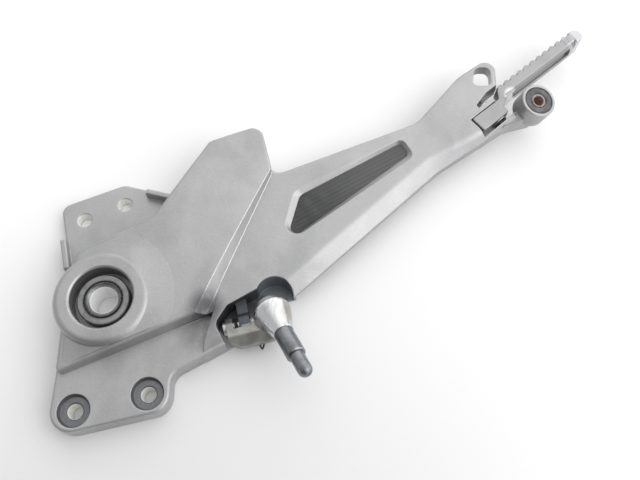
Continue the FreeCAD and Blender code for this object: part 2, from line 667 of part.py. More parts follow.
def rider_pin_washer():
    bore = RIDER_PIN_R + SEAT_GAP
    ring = turned([(bore, 0), (RIDER_HEAD_R, 0), (RIDER_HEAD_R, RIDER_WASHER_T), (bore, RIDER_WASHER_T)],
                  V(prong_faces()[0] - PRONG_T - RIDER_WASHER_T, 0, 0), V(1, 0, 0))
    return at_rider(ring)


def rider_lock_pin():
    """Cross pin that holds the hinge pin in the peg-side prong."""
    return at_rider(rod(LOCK_PIN_R, V(prong_faces()[1] + LOCK_PLACE, 0, -LOCK_REACH), UP, 2 * LOCK_REACH))


def rider_return_spring():
    """Coil round the hinge pin, between the tongue and the outer prong."""
    start = V(prong_faces()[0] + FORK_GAP + SPRING_WIRE / 2, 0, 0)
    return at_rider(coil(RIDER_PIN_R + 0.5 + SPRING_WIRE / 2, SPRING_WIRE, SPRING_TURNS, start, V(1, 0, 0)))


def pillion_peg():
    """Cast peg: root block, toothed bar and smooth tip, with one hollow flank."""
    tip = PAD_TO + TIP_LENGTH
    outline = [(-ROOT_BACK, ROOT_HALF, 1.5), (FLARE_FROM, ROOT_HALF, 2), (PAD_FROM, PAD_HIGH, 2),
               (PAD_TO, PAD_HIGH, 3), (PAD_TO + 2, PAD_HIGH + 2, 1), (tip, PAD_HIGH + 1, 6),
               (tip - 1.5, PAD_LOW - 1, 5), (ROOT_FRONT + 7, PAD_LOW - 1, 4), (ROOT_FRONT, PAD_LOW - 6, 2),
               (ROOT_FRONT, -ROOT_HALF, 2), (-ROOT_BACK, -ROOT_HALF, 1.5)]
    body = prism(outline, -PEG_HALF_T, PEG_HALF_T)
    body = body.makeFillet(PEG_EDGE, top_edges(body, PEG_HALF_T))
    cap = prism([(PAD_TO, PAD_HIGH + 2, 2), (tip, PAD_HIGH + 1, 6), (tip - 1.5, PAD_LOW - 1, 5),
                 (PAD_TO, PAD_LOW - 1, 2)], -PEG_HALF_T, PEG_HALF_T + TIP_RISE)
    body = body.fuse(cap.makeFillet(TIP_EDGE, top_edges(cap, PEG_HALF_T + TIP_RISE)))
    pitch = (PAD_TO - PAD_FROM) / TOOTH_COUNT
    height = 2 * PEG_HALF_T - PEG_EDGE
    teeth = [rod(TOOTH_R, V(PAD_FROM + pitch * (i + 0.6), PAD_HIGH - 0.4, -PEG_HALF_T), UP, height)
             for i in range(TOOTH_COUNT)]
    body = body.fuse(teeth).removeSplitter()
    hollow = Part.makeBox(PAD_TO - PAD_FROM - 14, FLANK_HOLLOW, 8, V(PAD_FROM + 10, PAD_LOW - 1, -4.5))
    side = PAD_LOW - 1
    bevel = slanted([(side - 1, DEEP, 0), (side + FLANK_BEVEL, DEEP, 0), (side + FLANK_BEVEL, PEG_HALF_T, 0),
                     (side - 0.5, 0, 0), (side - 1, 0, 0)], PAD_FROM + 2, PAD_TO)
    detent = rod(BALL_R + SEAT_GAP, V(BALL_SEAT.x, ROOT_HALF - 10, 0), V(0, 1, 0), 20)
    pin = rod(PILLION_PIN_R + PIN_GAP, V(0, -30, 0), V(0, 1, 0), 60)
    return at_pillion(body.cut([hollow, bevel, detent, pin]))


def pillion_hinge_pin():
    ear = ROOT_HALF + SIDE_GAP + EAR_T
    end = -ROOT_HALF - CLEVIS_GAP - PIN_SEAT
    pin = rod(PILLION_PIN_R, V(0, end, 0), V(0, 1, 0), ear - end)
    head = rod(PILLION_HEAD_R, V(0, ear, 0), V(0, 1, 0), PILLION_HEAD_T)
    head = head.makeFillet(1.0, [e for e in head.Edges if e.BoundBox.YMin > ear + 1])
    return at_pillion(pin.fuse(head).removeSplitter())


def pin_ring(inner, outer, thick, y):
    return turned([(inner, 0), (outer, 0), (outer, thick), (inner, thick)], V(0, y, 0), V(0, 1, 0))


def pillion_pin_washer():
    place = -ROOT_HALF - FORK_GAP - WASHER_T
    return at_pillion(pin_ring(PILLION_PIN_R + SEAT_GAP, WASHER_R, WASHER_T, place))


def pillion_friction_spring():
    start = -ROOT_HALF - CLEVIS_GAP + CLIP_T + 0.2 + COIL_WIRE / 2
    return at_pillion(coil(COIL_R, COIL_WIRE, 1.0, V(0, start, 0), V(0, 1, 0)))


def pillion_pin_clip():
    ring = pin_ring(PILLION_PIN_R + SEAT_GAP, CLIP_R, CLIP_T, -ROOT_HALF - CLEVIS_GAP + 0.1)
    mouth = Part.makeBox(2 * PILLION_PIN_R - 1.5, 20, 20, V(0.75 - PILLION_PIN_R, -30, 0))
    return at_pillion(ring.cut(mouth))


def pillion_detent_ball():
    return at_pillion(Part.makeSphere(BALL_R, V(BALL_SEAT.x, ROOT_HALF + BALL_PROUD - BALL_R, 0)))


def pillion_detent_spring():
    start = ROOT_HALF - 10 + DETENT_WIRE / 2
    spring = coil(BALL_R - DETENT_WIRE / 2 - 0.1, DETENT_WIRE, 6, V(BALL_SEAT.x, start, 0), V(0, 1, 0))
    return at_pillion(spring)


NODES = [hanger_casting, pivot_bush, pivot_collar, arm_inlay, rear_grommet, rear_grommet_sleeve,
         rider_knuckle, rider_collar, rider_core, rider_hinge_pin, rider_pin_washer, rider_lock_pin,
         rider_return_spring, pillion_peg, pillion_hinge_pin, pillion_pin_washer, pillion_friction_spring,
         pillion_pin_clip, pillion_detent_ball, pillion_detent_spring]


def main():
    os.makedirs("parts", exist_ok=True)
    for make in NODES:
        make().exportStep("parts/" + make.__name__ + ".step")


main()
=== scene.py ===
import bpy
import bmesh
import json
import math
import random
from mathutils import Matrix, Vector


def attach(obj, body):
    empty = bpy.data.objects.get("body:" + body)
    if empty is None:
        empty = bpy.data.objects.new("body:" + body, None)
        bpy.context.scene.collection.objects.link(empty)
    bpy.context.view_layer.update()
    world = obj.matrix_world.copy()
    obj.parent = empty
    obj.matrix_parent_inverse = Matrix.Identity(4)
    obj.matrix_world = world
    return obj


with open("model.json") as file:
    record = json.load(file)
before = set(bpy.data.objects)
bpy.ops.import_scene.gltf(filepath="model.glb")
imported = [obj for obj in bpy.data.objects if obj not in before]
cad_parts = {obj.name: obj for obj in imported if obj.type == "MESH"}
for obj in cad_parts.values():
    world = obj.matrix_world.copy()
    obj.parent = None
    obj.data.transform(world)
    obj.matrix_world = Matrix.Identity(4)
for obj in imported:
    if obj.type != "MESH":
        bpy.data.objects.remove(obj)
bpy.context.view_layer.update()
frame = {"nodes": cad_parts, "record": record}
scene = bpy.context.scene
nodes = frame["nodes"]

# The part is in metres. Each peg also has a frame of its own at its hinge, in millimetres
MM = 0.001
RIDER_HINGE = Vector((0.1007, -0.0148, 0.012))
RIDER_ANGLE = math.radians(14)
PILLION_HINGE = Vector((0.2934, 0.1548, 0.021))
PILLION_ANGLE = math.radians(39.8)

# Places that the looks follow
PIVOT = (0, 0)
LOWER_BOLTS = ((-0.0131, -0.0769), (0.0361, -0.0653))
UPPER_BOLTS = ((-0.0268, 0.069), (0.003, 0.0822))
ACROSS_RIDGE = (0.916, -0.401, 0)
RIDGE_OFFSET = 0.0683
NOTCH = (0.1216, 0.0044)
INLAY_DARK_END = (0.10, 0.04)
INLAY_SLOPE = math.atan2(44.7, 79.0)
CONE_BROWN_REFLECTION = (0.1335, -0.0110)
CONE_BLUE_REFLECTION = (0.1140, -0.0170)
CONE_HIGHLIGHT_SIDE = (-0.93, 0.30, 0.20)
PEG_TIP = (0.3734, 0.2330)
PEG_SHOULDER = (0.3095, 0.1715)
PEG_SHADED_SIDE = (0.68, -0.73, 0)
# Spots of painted shade in the peg's pocket: x, y, radius and how pale the shade is
POCKET_SPOTS = ((*NOTCH, 0.0150, 2.4), (0.1085, -0.0010, 0.0125, 1.3),
                (0.0990, -0.0055, 0.0125, 1), (0.0905, -0.0125, 0.0108, 1))
POCKET_SHADE = (0.080, 0.088, 0.096)
# Patches of painted shade, two at the foot of the ridge, the second partly dirt, and one under the boss: x,
# y, radius and darkness
SHADE_PATCHES = ((0.0740, -0.0060, 0.0180, 0.95), (0.070, -0.022, 0.022, 0.55), (0.002, -0.036, 0.026, 0.30))
SHADE_PATCH_CORE = 0.003

# Fades: the radius or height where a look begins, and the one where it is full
RIDGE_FADE = (0.011, 0.007)
SEAT_FADE = (0.0105, 0.0098)
SEAT_TOP_FADE = (0.0138, 0.0133)
SEAT_DIRT_FADE = (0.0068, 0.0056)
SEAT_WALL_OUTER = (0.0117, 0.0113)
SEAT_WALL_INNER = (0.0097, 0.0102)
HOLE_FADE = (0.0056, 0.0053)
POCKET_TOP_FADE = (0.0220, 0.0205)
POCKET_SOFT = 0.0015
RECESS_FADE = (0.0235, 0.0224)
RECESS_TOP_FADE = (0.0305, 0.029)
GROOVE_FADE = (0.0145, 0.0139)
GROOVE_TOP_FADE = (0.0243, 0.0236)
BUSH_DARK_FADE = (0.0156, 0.0143)
BUSH_RIM_FADE = (0.0176, 0.0186)
BUSH_RIM_TOP_FADE = (0.0245, 0.0232)
COLLAR_DIRT_FADE = (0.0112, 0.0121)
COLLAR_BORE_FADE = (0.0103, 0.0101)
INLAY_FADE = (0.035, 0.125)
BROWN_REFLECTION_FADE = (0.0100, 0.0030)
BLUE_REFLECTION_FADE = (0.0090, 0.0030)
PEG_UNDERSIDE_SHADE_FADE = (0.0205, 0.0170)
PEG_TIP_FADE = (0.022, 0.012)
PEG_SHOULDER_HIGHLIGHT_FADE = (0.0085, 0.0045)
# Heights under which a look stays off, so that it doesn't reach the back
SEAT_FLOOR = 0.0120
POCKET_FLOOR = 0.0012
RECESS_FLOOR = 0.015
SHADE_PATCH_FLOOR = 0.012
FLOOR_SOFT = 0.0006

# Hooked end of the return spring, in the rider peg's frame
SPRING_HOOK = ((6.0, -11.5, -8.6), (6.7, -14.5, -7.2), (7.5, -18.2, -6.6), (8.0, -19.0, -6.5),
               (8.7, -18.2, -6.6), (10.5, -14.5, -7.2), (11.2, -11.5, -8.6))
SPRING_WIRE_R = 0.0006
# Wall of the notch: radius and height of each corner of its section, and the turn it makes in degrees
NOTCH_SECTION = ((0.01365, 0.0132), (0.01365, 0.0022), (0.0030, 0.0021), (0.0030, 0.0004),
                 (0.0150, 0.0004), (0.0156, 0.0010), (0.0156, 0.0132))
NOTCH_FROM = 10
NOTCH_TURN = 47
NOTCH_STEPS = 24
NOTCH_SHARP = math.radians(40)
# Slope at the pillion peg's tip, in its frame: x, lower side, upper side and top of each section
RAMP_SECTIONS = ((92.0, 7.2, 13.0, 7.52), (94.5, 7.0, 13.3, 7.95), (97.0, 6.6, 13.7, 8.8),
                 (99.0, 6.0, 14.2, 9.6), (101.2, 5.5, 14.5, 10.12), (102.6, 5.5, 14.5, 10.05))
RAMP_BASE = 6.8
RAMP_HALF_STEPS = 8
RAMP_SHARP = math.radians(60)
# Crumbs in the pivot's groove
GROOVE_R = 0.0135
GROOVE_Z = 0.0230
CRUMB_COUNT = 34
CRUMB_SPREAD = 0.0003
CRUMB_R = (0.00035, 0.0006)
CRUMB_FLATNESS = 0.7

# Stage
TABLE_HALF = 6
TABLE_Z = -0.0004
TABLE_SHADE = (0.0, -0.36)
TABLE_SHADE_FADE = (0.62, 0.05)
TABLE_LIT_PATCH = (-0.20, 0.25)
TABLE_LIT_PATCH_FADE = (0.45, 0.10)
# Sides of the light tent: direction, limits of its fade, and strength outside and inside it
BRIGHT_SIDE = ((0.8, 0.6, 0.1), -0.5, 0.8, 0.58, 1.66)
DIM_SIDE = ((-0.35, -0.95, 0.3), 0.45, 0.95, 1.0, 0.36)
LAMP_PLACE = Vector((0.95, -0.25, 0.75))
LAMP_AIM = Vector((0.2, 0.05, 0))
LAMP_SIDE = 0.9
LAMP_WATTS = 3
CAMERA_PLACE = (0.1545, -0.1559, 0.5)
CAMERA_TILT = math.radians(23)
SENSOR_MM = 36
FOCAL_PX = 700
PICTURE_PX = 640


class Shader:
    """Short way to write a node material round one Principled shader."""

    def __init__(self, name, colour, metallic, roughness):
        self.material = bpy.data.materials.new(name)
        self.material.use_nodes = True
        self.tree = self.material.node_tree
        self.bsdf = self.tree.nodes["Principled BSDF"]
        self.bsdf.inputs["Base Color"].default_value = (*colour, 1)
        self.bsdf.inputs["Metallic"].default_value = metallic
        self.bsdf.inputs["Roughness"].default_value = roughness
        self.place = self.add("ShaderNodeTexCoord").outputs["Object"]

    def add(self, kind, **settings):
        made = self.tree.nodes.new(kind)
        for key, value in settings.items():
            setattr(made, key, value)
        return made

    def join(self, source, target):
        self.tree.links.new(source, target)

    def put(self, value, target):
        """Link an output to a socket, or set a plain value on it."""
        if isinstance(value, bpy.types.NodeSocket):
            self.join(value, target)
        else:
            target.default_value = value

    def maths(self, operation, a, b=0.5):
        step = self.add("ShaderNodeMath", operation=operation)
        self.put(a, step.inputs[0])
        self.put(b, step.inputs[1])
        return step.outputs[0]

    def both(self, a, b):
        """Product of two factors."""
        return self.maths("MULTIPLY", a, b)

    def noise(self, scale, detail=4.0, stretch=(1, 1, 1), turn=0.0):
        mapping = self.add("ShaderNodeMapping")
        mapping.inputs["Scale"].default_value = stretch
        mapping.inputs["Rotation"].default_value = (0, 0, turn)
        self.join(self.place, mapping.inputs["Vector"])
        texture = self.add("ShaderNodeTexNoise")
        texture.inputs["Scale"].default_value = scale
        texture.inputs["Detail"].default_value = detail
        self.join(mapping.outputs["Vector"], texture.inputs["Vector"])
        return texture.outputs["Fac"]

    def span(self, value, low, high, to_low=0.0, to_high=1.0):
        """Smooth ramp of a value between two limits."""
        ramp = self.add("ShaderNodeMapRange", interpolation_type="SMOOTHSTEP")
        self.put(value, ramp.inputs["Value"])
        for key, number in (("From Min", low), ("From Max", high), ("To Min", to_low), ("To Max", to_high)):
            ramp.inputs[key].default_value = number
        return ramp.outputs["Result"]

    def flat_distance(self, x, y):
        """Distance from an upright line at a place on the part."""
        scaled = self.add("ShaderNodeVectorMath", operation="MULTIPLY")
        self.join(self.place, scaled.inputs[0])
        scaled.inputs[1].default_value = (1, 1, 0)
        away = self.add("ShaderNodeVectorMath", operation="DISTANCE")
        self.join(scaled.outputs["Vector"], away.inputs[0])
        away.inputs[1].default_value = (x, y, 0)
        return away.outputs["Value"]

    def along(self, direction):
        """Distance along a direction."""
        dot = self.add("ShaderNodeVectorMath", operation="DOT_PRODUCT")
        self.join(self.place, dot.inputs[0])
        dot.inputs[1].default_value = direction
        return dot.outputs["Value"]

    def height(self):
        split = self.add("ShaderNodeSeparateXYZ")
        self.join(self.place, split.inputs["Vector"])
        return split.outputs["Z"]

    def above(self, z, most=1.0):
        """Factor that is on only above a height, so that it stays off the back."""
        return self.span(self.height(), z, z + FLOOR_SOFT, 0, most)

    def facing(self, way):
        """How far the surface faces one way, from -1 to 1."""
        dot = self.add("ShaderNodeVectorMath", operation="DOT_PRODUCT")
        self.join(self.add("ShaderNodeTexCoord").outputs["Normal"], dot.inputs[0])
        dot.inputs[1].default_value = way
        return dot.outputs["Value"]

    def tint(self, factor, colour):
        """Lay a colour over what the base colour is so far, by a factor."""
        socket = self.bsdf.inputs["Base Color"]
        mix = self.add("ShaderNodeMix", data_type="RGBA")
        if socket.is_linked:
            self.join(socket.links[0].from_socket, mix.inputs["A"])
        else:
            mix.inputs["A"].default_value = socket.default_value
        mix.inputs["B"].default_value = (*colour, 1)
        self.put(factor, mix.inputs["Factor"])
        self.join(mix.outputs["Result"], socket)

    def set_to(self, name, factor, value):
        """Move a shader value towards another one by a factor."""
        socket = self.bsdf.inputs[name]
        mix = self.add("ShaderNodeMix", data_type="FLOAT")
        if socket.is_linked:
            self.join(socket.links[0].from_socket, mix.inputs["A"])
        else:
            mix.inputs["A"].default_value = socket.default_value
        mix.inputs["B"].default_value = value
        self.put(factor, mix.inputs["Factor"])
        self.join(mix.outputs["Result"], socket)

    def soft_edges(self, radius):
        """Round the edges in the shading, and give back how near an edge is."""
        bevel = self.add("ShaderNodeBevel", samples=6)
        bevel.inputs["Radius"].default_value = radius
        true = self.add("ShaderNodeNewGeometry")
        turn = self.add("ShaderNodeVectorMath", operation="DOT_PRODUCT")
        self.join(bevel.outputs["Normal"], turn.inputs[0])
        self.join(true.outputs["Normal"], turn.inputs[1])
        self.join(bevel.outputs["Normal"], self.bsdf.inputs["Normal"])
        return self.maths("SUBTRACT", 1.0, turn.outputs["Value"])

    def bump(self, height, strength, distance):
        raised = self.add("ShaderNodeBump")
        raised.inputs["Strength"].default_value = strength
        raised.inputs["Distance"].default_value = distance
        self.join(height, raised.inputs["Height"])
        if self.bsdf.inputs["Normal"].is_linked:
            self.join(self.bsdf.inputs["Normal"].links[0].from_socket, raised.inputs["Normal"])
        self.join(raised.outputs["Normal"], self.bsdf.inputs["Normal"])


def silver_paint():
    paint = Shader("silver_paint", (0.42, 0.42, 0.425), 0.72, 0.40)
    paint.tint(paint.span(paint.noise(24, 4), 0.42, 0.62, 0, 0.6), (0.35, 0.35, 0.357))
    paint.tint(paint.span(paint.noise(47, 5, (1, 0.6, 1), 0.4), 0.48, 0.68, 0, 0.45), (0.48, 0.48, 0.483))
    paint.tint(paint.span(paint.noise(800, 3), 0.50, 0.70, 0, 0.22), (0.54, 0.54, 0.535))
    paint.tint(paint.span(paint.noise(1000, 3), 0.55, 0.70, 0, 0.28), (0.27, 0.27, 0.272))
    scratches = paint.span(paint.noise(60, 3, (1, 14, 1), 0.5), 0.66, 0.74, 0, 0.35)
    paint.tint(scratches, (0.50, 0.50, 0.50))
    # Edges lightened, partly worn paint and partly a painted highlight, most of all along the ridge
    off_ridge = paint.maths("ABSOLUTE", paint.maths("SUBTRACT", paint.along(ACROSS_RIDGE), RIDGE_OFFSET))
    ridge = paint.maths("MAXIMUM", paint.span(off_ridge, *RIDGE_FADE, 0, 0.85), 0.25)
    wear_and_highlight = paint.both(paint.span(paint.soft_edges(0.0010), 0.004, 0.06), ridge)
    paint.tint(wear_and_highlight, (0.82, 0.82, 0.82))
    # Bare, marked seats round the bolts, with painted shade on their walls
    for bolt in LOWER_BOLTS:
        away = paint.flat_distance(*bolt)
        seat = paint.both(paint.span(away, *SEAT_FADE), paint.span(paint.height(), *SEAT_TOP_FADE))
        seat = paint.both(seat, paint.above(SEAT_FLOOR))
        paint.tint(paint.both(seat, 0.9), (0.15, 0.155, 0.165))
        paint.tint(paint.both(seat, paint.span(away, *SEAT_DIRT_FADE, 0, 0.7)), (0.05, 0.05, 0.052))
        marks = paint.both(seat, paint.span(paint.noise(620, 4), 0.52, 0.70, 0, 0.22))
        paint.tint(marks, (0.42, 0.42, 0.42))
        # Painted shade on the wall of the seat
        wall = paint.both(paint.span(away, *SEAT_WALL_OUTER), paint.span(away, *SEAT_WALL_INNER))
        paint.tint(paint.both(wall, paint.above(SEAT_FLOOR, 0.8)), (0.09, 0.09, 0.095))
    # Painted light on the walls of the bolt holes
    for bolt in LOWER_BOLTS + UPPER_BOLTS:
        lit_hole_wall = paint.span(paint.flat_distance(*bolt), *HOLE_FADE)
        paint.tint(lit_hole_wall, (0.88, 0.88, 0.85))
        paint.set_to("Metallic", lit_hole_wall, 0.1)
    # Painted shade inside the peg's pocket and in the pivot's recess
    low = paint.both(paint.span(paint.height(), *POCKET_TOP_FADE), paint.above(POCKET_FLOOR))
    for x, y, r, tone in POCKET_SPOTS:
        near = paint.span(paint.flat_distance(x, y), r, r - POCKET_SOFT, 0, 0.95)
        paint.tint(paint.both(near, low), tuple(tone * c for c in POCKET_SHADE))
    # Painted shade on the walls of the pivot's recess
    recess_shade = paint.both(paint.span(paint.flat_distance(*PIVOT), *RECESS_FADE),
                        paint.span(paint.height(), *RECESS_TOP_FADE))
    paint.tint(paint.both(recess_shade, paint.above(RECESS_FLOOR, 0.8)), (0.22, 0.22, 0.226))
    # Painted shade in a few mottled patches
    for x, y, r, dark in SHADE_PATCHES:
        shade_patch = paint.both(paint.span(paint.flat_distance(x, y), r, SHADE_PATCH_CORE),
                           paint.span(paint.noise(120, 4), 0.25, 0.55, 0.5 * dark, dark))
        paint.tint(paint.both(shade_patch, paint.above(SHADE_PATCH_FLOOR)), (0.10, 0.10, 0.105))
    paint.set_to("Roughness", paint.span(paint.noise(25, 4), 0.35, 0.7, 0, 0.6), 0.54)
    paint.bump(paint.noise(520, 5), 0.17, 0.0006)
    paint.bump(paint.noise(45, 3), 0.09, 0.002)
    return paint.material


def turned_steel(name, colour, roughness, rings=900.0):
    """Lathe-turned steel with fine rings round its axis."""
    steel = Shader(name, colour, 1.0, roughness)
    steel.tint(steel.span(steel.noise(150, 5), 0.45, 0.72, 0, 0.55), tuple(0.5 * c for c in colour))
    steel.set_to("Roughness", steel.span(steel.noise(320, 3), 0.4, 0.7, 0, 0.6), roughness + 0.16)
    steel.bump(steel.noise(rings, 2), 0.12, 0.0003)
    return steel


def bush_steel():
    steel = turned_steel("bush_steel", (0.30, 0.30, 0.305), 0.48)
    away = steel.flat_distance(*PIVOT)
    groove = steel.both(steel.span(away, *GROOVE_FADE), steel.span(steel.height(), *GROOVE_TOP_FADE))
    steel.tint(steel.span(away, *BUSH_DARK_FADE, 0, 0.6), (0.10, 0.10, 0.10))
    steel.tint(groove, (0.035, 0.033, 0.03))
    steel.set_to("Metallic", groove, 0.0)
    steel.set_to("Roughness", groove, 0.8)
    # Painted shade on the outer rim low down, in the gap round the bush
    rim = steel.both(steel.span(away, *BUSH_RIM_FADE), steel.span(steel.height(), *BUSH_RIM_TOP_FADE))
    steel.tint(steel.both(rim, 0.6), (0.13, 0.13, 0.13))
    return steel.material


def collar_steel():
    """Bevelled collar, with painted light on the wall of its bore."""
    steel = turned_steel("collar_steel", (0.30, 0.305, 0.31), 0.45)
    away = steel.flat_distance(*PIVOT)
    dirt = steel.span(away, *COLLAR_DIRT_FADE, 0, 0.8)
    patchy = steel.both(dirt, steel.span(steel.noise(500, 4), 0.3, 0.6, 0.6, 1))
    steel.tint(patchy, (0.06, 0.058, 0.055))
    # Painted light on the wall of the bore
    bore = steel.span(away, *COLLAR_BORE_FADE)
    steel.tint(bore, (0.88, 0.88, 0.88))
    steel.set_to("Metallic", bore, 0.1)
    return steel.material


def rusty_steel():
    rust = Shader("rusty_steel", (0.42, 0.34, 0.31), 0.3, 0.60)
    rust.tint(rust.span(rust.noise(420, 6), 0.42, 0.62), (0.34, 0.21, 0.16))
    rust.tint(rust.span(rust.noise(900, 4), 0.55, 0.7, 0, 0.6), (0.30, 0.27, 0.25))
    rust.bump(rust.noise(1400, 5), 0.5, 0.0005)
    return rust.material


def black_inlay():
    plastic = Shader("black_inlay", (0.034, 0.035, 0.035), 0.0, 0.6)
    plastic.soft_edges(0.0007)
    paler = plastic.span(plastic.flat_distance(*INLAY_DARK_END), *INLAY_FADE)
    plastic.tint(paler, (0.105, 0.105, 0.105))
    plastic.tint(plastic.span(plastic.noise(110, 5), 0.4, 0.75, 0, 0.35), (0.11, 0.11, 0.11))
    mapping = plastic.add("ShaderNodeMapping")
    mapping.inputs["Rotation"].default_value = (0, 0, -INLAY_SLOPE)
    plastic.join(plastic.place, mapping.inputs["Vector"])
    lines = plastic.add("ShaderNodeTexWave", bands_direction="Y")
    lines.inputs["Scale"].default_value = 240
    lines.inputs["Distortion"].default_value = 0.3
    plastic.join(mapping.outputs["Vector"], lines.inputs["Vector"])
    plastic.bump(lines.outputs["Fac"], 0.1, 0.0003)
    return plastic.material


def old_rubber():
    rubber = Shader("old_rubber", (0.085, 0.087, 0.092), 0.0, 0.6)
    rubber.tint(rubber.span(rubber.noise(230, 5), 0.38, 0.7, 0, 0.75), (0.19, 0.19, 0.195))
    rubber.bump(rubber.noise(900, 4), 0.25, 0.0004)
    return rubber.material


def knuckle_alloy():
    alloy = Shader("knuckle_alloy", (0.34, 0.335, 0.315), 0.7, 0.36)
    worn = alloy.span(alloy.soft_edges(0.0008), 0.01, 0.12, 0, 0.6)
    alloy.tint(alloy.span(alloy.noise(130, 4), 0.42, 0.66, 0, 0.5), (0.15, 0.15, 0.145))
    alloy.tint(alloy.span(alloy.noise(420, 3), 0.58, 0.72, 0, 0.25), (0.45, 0.45, 0.44))
    alloy.tint(worn, (0.72, 0.71, 0.69))
    alloy.bump(alloy.noise(650, 5), 0.3, 0.0006)
    return alloy.material


def bright_cone():
    """Polished cone with stains that run down its sides."""
    cone = Shader("bright_cone", (0.66, 0.67, 0.685), 1.0, 0.17)
    stains = cone.span(cone.noise(75, 5, (1.4, 0.35, 0.8), -0.1), 0.52, 0.70, 0, 0.6)
    cone.tint(stains, (0.50, 0.45, 0.38))
    cone.tint(cone.span(cone.noise(160, 5, (1.2, 0.3, 0.6), -0.1), 0.56, 0.70, 0, 0.5), (0.34, 0.35, 0.37))
    # Painted reflections: a brown patch and a bluish one
    brown = cone.span(cone.flat_distance(*CONE_BROWN_REFLECTION), *BROWN_REFLECTION_FADE, 0, 0.8)
    cone.tint(brown, (0.47, 0.44, 0.39))
    blue = cone.span(cone.flat_distance(*CONE_BLUE_REFLECTION), *BLUE_REFLECTION_FADE, 0, 0.25)
    cone.tint(blue, (0.44, 0.46, 0.50))
    # Painted highlight on the side towards the pivot
    cone.tint(cone.span(cone.facing(CONE_HIGHLIGHT_SIDE), 0.35, 0.85, 0, 0.75), (0.96, 0.965, 0.975))
    cone.set_to("Roughness", cone.span(cone.noise(260, 4), 0.45, 0.7, 0, 0.7), 0.36)
    cone.soft_edges(0.0009)
    cone.bump(cone.noise(300, 4, (1.2, 0.2, 0.5), -0.1), 0.25, 0.0006)
    return cone.material


def core_steel():
    steel = turned_steel("core_steel", (0.25, 0.26, 0.272), 0.30, 1200)
    steel.tint(steel.span(steel.noise(60, 5), 0.5, 0.7, 0, 0.5), (0.14, 0.145, 0.15))
    return steel.material


def peg_alloy():
    alloy = Shader("peg_alloy", (0.36, 0.36, 0.365), 0.70, 0.38)
    worn = alloy.span(alloy.soft_edges(0.0012), 0.01, 0.14, 0, 0.4)
    alloy.tint(alloy.span(alloy.noise(80, 5), 0.4, 0.72, 0, 0.5), (0.30, 0.30, 0.30))
    # Painted shade on the flank that faces down and back
    alloy.tint(alloy.span(alloy.facing(PEG_SHADED_SIDE), 0.35, 0.75, 0, 0.25), (0.15, 0.15, 0.155))
    alloy.tint(worn, (0.70, 0.70, 0.70))
    # Painted shade, darker towards the underside
    alloy.tint(alloy.span(alloy.height(), *PEG_UNDERSIDE_SHADE_FADE, 0, 0.15), (0.13, 0.13, 0.135))
    # Polished tip, and a painted highlight on a worn spot of the shoulder
    tip = alloy.both(alloy.span(alloy.flat_distance(*PEG_TIP), *PEG_TIP_FADE), 0.8)
    alloy.tint(tip, (0.59, 0.59, 0.61))
    alloy.set_to("Roughness", tip, 0.16)
    wear_and_highlight = alloy.span(alloy.flat_distance(*PEG_SHOULDER), *PEG_SHOULDER_HIGHLIGHT_FADE, 0, 0.8)
    alloy.tint(wear_and_highlight, (0.86, 0.86, 0.86))
    alloy.bump(alloy.noise(520, 5), 0.12, 0.0006)
    return alloy.material


def black_spring():
    wire = Shader("black_spring", (0.03, 0.03, 0.031), 0.6, 0.4)
    wire.tint(wire.span(wire.noise(700, 4), 0.55, 0.75, 0, 0.6), (0.16, 0.12, 0.10))
    wire.bump(wire.noise(1500, 3), 0.15, 0.0002)
    return wire.material


LOOKS = {
    "cast_silver": silver_paint(),
    "bush_steel": bush_steel(),
    "collar_steel": collar_steel(),
    "inlay_black": black_inlay(),
    "grommet_rubber": old_rubber(),
    "rusty_sleeve": rusty_steel(),
    "knuckle_alloy": knuckle_alloy(),
    "bright_cone": bright_cone(),
    "core_steel": core_steel(),
    "pin_steel": turned_steel("pin_steel", (0.55, 0.55, 0.55), 0.32).material,
    "spring_steel": black_spring(),
    "peg_alloy": peg_alloy(),
}


def dress_cad():
    for part in frame["record"]["subparts"]:
        piece = nodes[part["node"]]
        piece.data.materials.clear()
        piece.data.materials.append(LOOKS[part["material_slot"]])


def from_peg(hinge, angle, x, y, z):
    """Millimetres in a peg's own frame to the part's frame."""
    c, s = math.cos(angle), math.sin(angle)
    return hinge + Vector((x * c - y * s, x * s + y * c, z)) * MM


def wire(name, points, radius):
    """Round wire through points, as a mesh."""
    curve = bpy.data.curves.new(name, "CURVE")
    curve.dimensions = "3D"
    curve.bevel_depth = radius
    curve.bevel_resolution = 4
    curve.use_fill_caps = True
    spline = curve.splines.new("POLY")
    spline.points.add(len(points) - 1)
    for spot, p in zip(spline.points, points):
        spot.co = (*p, 1)
    rough = bpy.data.objects.new(name + "_curve", curve)
    scene.collection.objects.link(rough)
    bpy.context.view_layer.update()
    mesh = bpy.data.meshes.new_from_object(rough.evaluated_get(bpy.context.evaluated_depsgraph_get()))
    bpy.data.objects.remove(rough)
    return add_mesh(name, mesh)


def add_mesh(name, mesh):
    mesh.name = name
    piece = bpy.data.objects.new(name, mesh)
    scene.collection.objects.link(piece)
    for face in mesh.polygons:
        face.use_smooth = True
    return piece


def add_shell(name, shell):
    """Object from a bmesh, which is freed."""
    mesh = bpy.data.meshes.new(name)
    shell.to_mesh(mesh)
    shell.free()
    return add_mesh(name, mesh)


def swept(name, loops, sharp):
    """Closed piece through a row of loops of points, with edges sharp from an angle on."""
    shell = bmesh.new()
    rows = [[shell.verts.new(p) for p in loop] for loop in loops]
    count = len(rows[0])
    for first, second in zip(rows, rows[1:]):
        for i in range(count):
            j = (i + 1) % count
            shell.faces.new((first[i], first[j], second[j], second[i]))
    shell.faces.new(rows[0])
    shell.faces.new(rows[-1])
    bmesh.ops.recalc_face_normals(shell, faces=shell.faces)
    piece = add_shell(name, shell)
    piece.data.set_sharp_from_angle(angle=sharp)
    return piece


